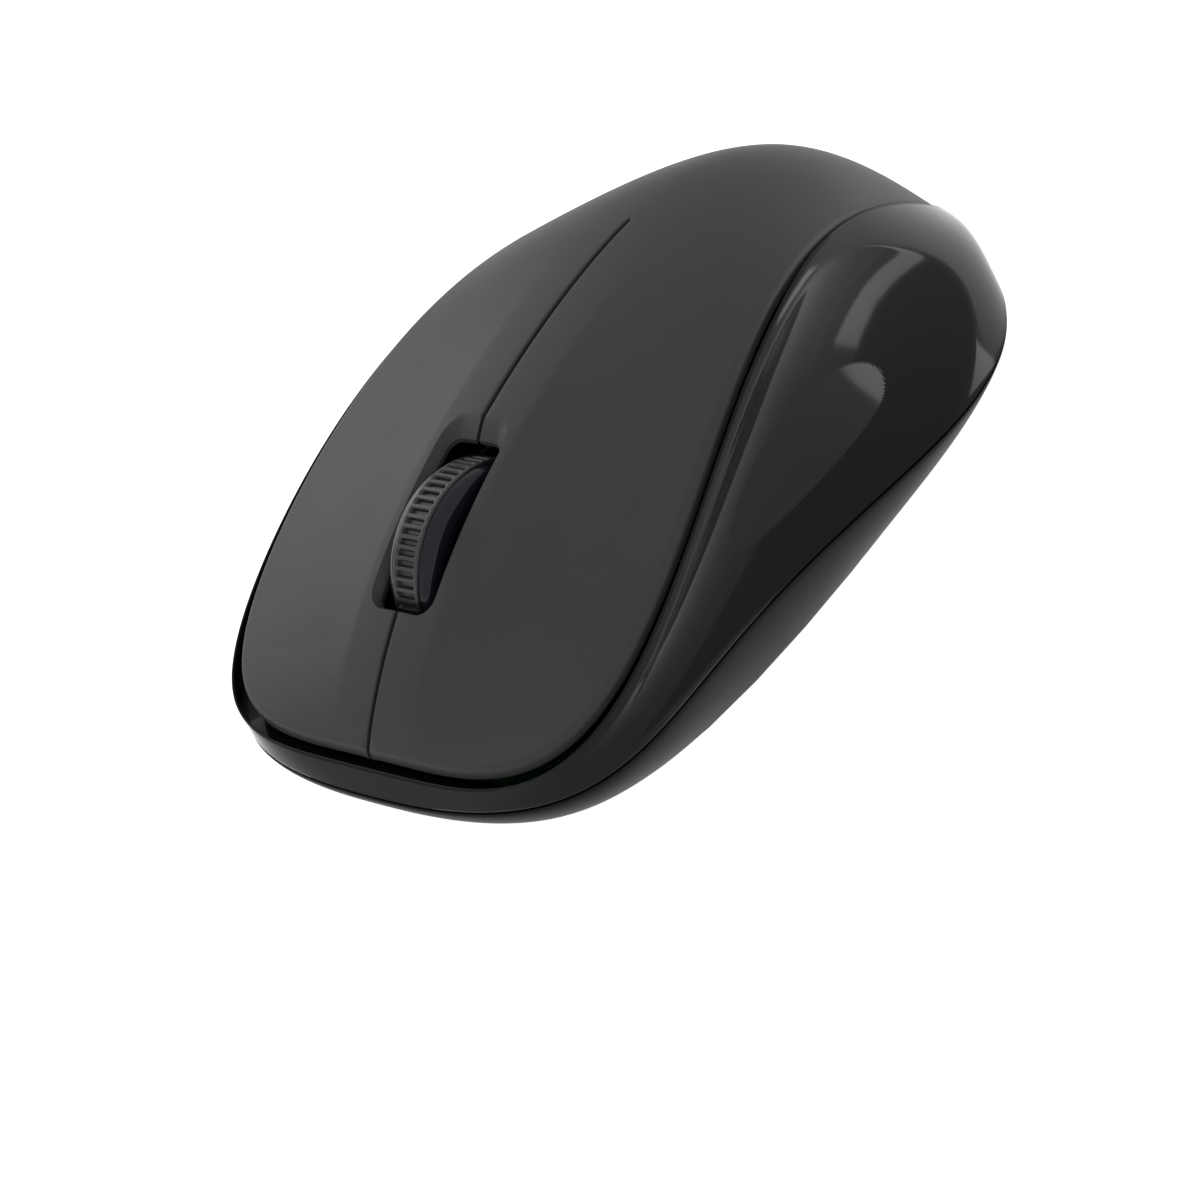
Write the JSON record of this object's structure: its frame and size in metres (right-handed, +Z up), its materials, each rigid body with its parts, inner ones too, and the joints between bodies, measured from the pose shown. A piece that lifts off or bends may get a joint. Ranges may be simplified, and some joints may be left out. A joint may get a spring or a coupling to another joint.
{
  "type": "computer mouse",
  "caption": "Compact wireless computer mouse with a matte curved cover whose buttons flex, a ribbed scroll wheel, gloss scooped sides and a satin base.",
  "frame": {"origin": "on the table, under the middle of the body's length and width", "axes": "+Z up, -Y towards the nose with the buttons and the wheel, +X to the user's right hand side"},
  "size_m": [0.0628, 0.1118, 0.0396],
  "materials": {
    "base_shell": "satin moulded plastic",
    "mid_frame": "polished dark plastic",
    "palm_cover": "fine matte texture, soft touch",
    "left_button": "fine matte texture, soft touch",
    "right_button": "fine matte texture, soft touch",
    "wheel_tyre": "ribbed rubber",
    "wheel_hub": "smooth glossy cheeks",
    "wheel_cradle": "natural white moulding",
    "detent_spring": "spring wire",
    "cradle_spring": "spring wire",
    "encoder_emitter": "clear-grey epoxy",
    "encoder_detector": "dark epoxy",
    "circuit_board": "solder mask",
    "left_switch": "moulded switch body",
    "right_switch": "moulded switch body",
    "middle_switch": "stamped switch can",
    "left_plunger": "moulded",
    "right_plunger": "moulded",
    "middle_plunger": "moulded",
    "sensor_chip": "chip package",
    "sensor_lens": "clear moulded lens",
    "controller_chip": "chip package",
    "crystal_can": "drawn can",
    "capacitors": "sleeved cans",
    "power_switch": "folded sheet",
    "power_knob": "moulded, ribbed",
    "battery_cell": "plain coloured sleeve",
    "battery_terminals": "nickel plate",
    "negative_spring": "spring wire",
    "positive_contact": "sheet",
    "battery_door": "satin moulded plastic",
    "receiver_cap": "satin moulded plastic",
    "receiver_plug": "folded plated sheet",
    "receiver_tongue": "moulded insert",
    "front_foot": "slippery sheet",
    "rear_feet": "slippery sheet",
    "screws": "cross-head screws"
  },
  "bodies": {
    "base": {"base_shell": "base_shell", "mid_frame": "mid_frame", "palm_cover": "palm_cover", "circuit_board": "circuit_board", "encoder_emitter": "encoder_emitter", "encoder_detector": "encoder_detector", "left_switch": "left_switch", "right_switch": "right_switch", "middle_switch": "middle_switch", "sensor_chip": "sensor_chip", "sensor_lens": "sensor_lens", "controller_chip": "controller_chip", "crystal_can": "crystal_can", "capacitors": "capacitors", "power_switch": "power_switch", "battery_cell": "battery_cell", "battery_terminals": "battery_terminals", "negative_spring": "negative_spring", "positive_contact": "positive_contact", "front_foot": "front_foot", "rear_feet": "rear_feet", "screws": "screws", "cradle_spring": "cradle_spring"},
    "left_button": {"left_button": "left_button"},
    "right_button": {"right_button": "right_button"},
    "left_plunger": {"left_plunger": "left_plunger"},
    "right_plunger": {"right_plunger": "right_plunger"},
    "middle_plunger": {"middle_plunger": "middle_plunger"},
    "cradle": {"wheel_cradle": "wheel_cradle", "detent_spring": "detent_spring"},
    "wheel": {"wheel_tyre": "wheel_tyre", "wheel_hub": "wheel_hub"},
    "power_knob": {"power_knob": "power_knob"},
    "battery_door": {"battery_door": "battery_door"},
    "receiver": {"receiver_cap": "receiver_cap", "receiver_plug": "receiver_plug", "receiver_tongue": "receiver_tongue"}
  },
  "joints": [
    {"name": "left_button_press", "type": "hinge", "parent": "base", "child": "left_button", "pos_m": [0, 0.01065, 0.0375], "axis": [1, 0, 0], "range_deg": [0, 0.7], "stiffness_Nm_per_rad": 1.5, "springref_deg": -0.34},
    {"name": "right_button_press", "type": "hinge", "parent": "base", "child": "right_button", "pos_m": [0, 0.01065, 0.0375], "axis": [1, 0, 0], "range_deg": [0, 0.7], "stiffness_Nm_per_rad": 1.5, "springref_deg": -0.34},
    {"name": "left_switch_travel", "type": "slide", "parent": "base", "child": "left_plunger", "axis": [0, 0, -1], "range_m": [0, 0.0006]},
    {"name": "right_switch_travel", "type": "slide", "parent": "base", "child": "right_plunger", "axis": [0, 0, -1], "range_m": [0, 0.0006]},
    {"name": "wheel_click", "type": "hinge", "parent": "base", "child": "cradle", "pos_m": [0, -0.01335, 0.0142], "axis": [1, 0, 0], "range_deg": [0, 0.76], "stiffness_Nm_per_rad": 1.5, "springref_deg": -0.34, "deforming": ["cradle_spring"]},
    {"name": "middle_switch_travel", "type": "slide", "parent": "base", "child": "middle_plunger", "axis": [0, 0, -1], "range_m": [0, 0.0004]},
    {"name": "wheel_spin", "type": "hinge", "parent": "cradle", "child": "wheel", "pos_m": [0, -0.02885, 0.0192], "axis": [1, 0, 0], "continuous": true},
    {"name": "power_switch_slide", "type": "slide", "parent": "base", "child": "power_knob", "axis": [0, -1, 0], "range_m": [0, 0.003]},
    {"name": "battery_door_open", "type": "hinge", "parent": "base", "child": "battery_door", "pos_m": [0, -0.0088, 0.002], "axis": [-1, 0, 0], "range_deg": [0, 90]},
    {"name": "receiver_pull", "type": "slide", "parent": "base", "child": "receiver", "axis": [0, 0, -1], "range_m": [0, 0.025]}
  ],
  "couplings": [
    {"joint": "left_switch_travel", "follows": "left_button_press", "m_per_rad": 0.0465},
    {"joint": "right_switch_travel", "follows": "right_button_press", "m_per_rad": 0.0465},
    {"joint": "middle_switch_travel", "follows": "wheel_click", "m_per_rad": 0.03}
  ]
}
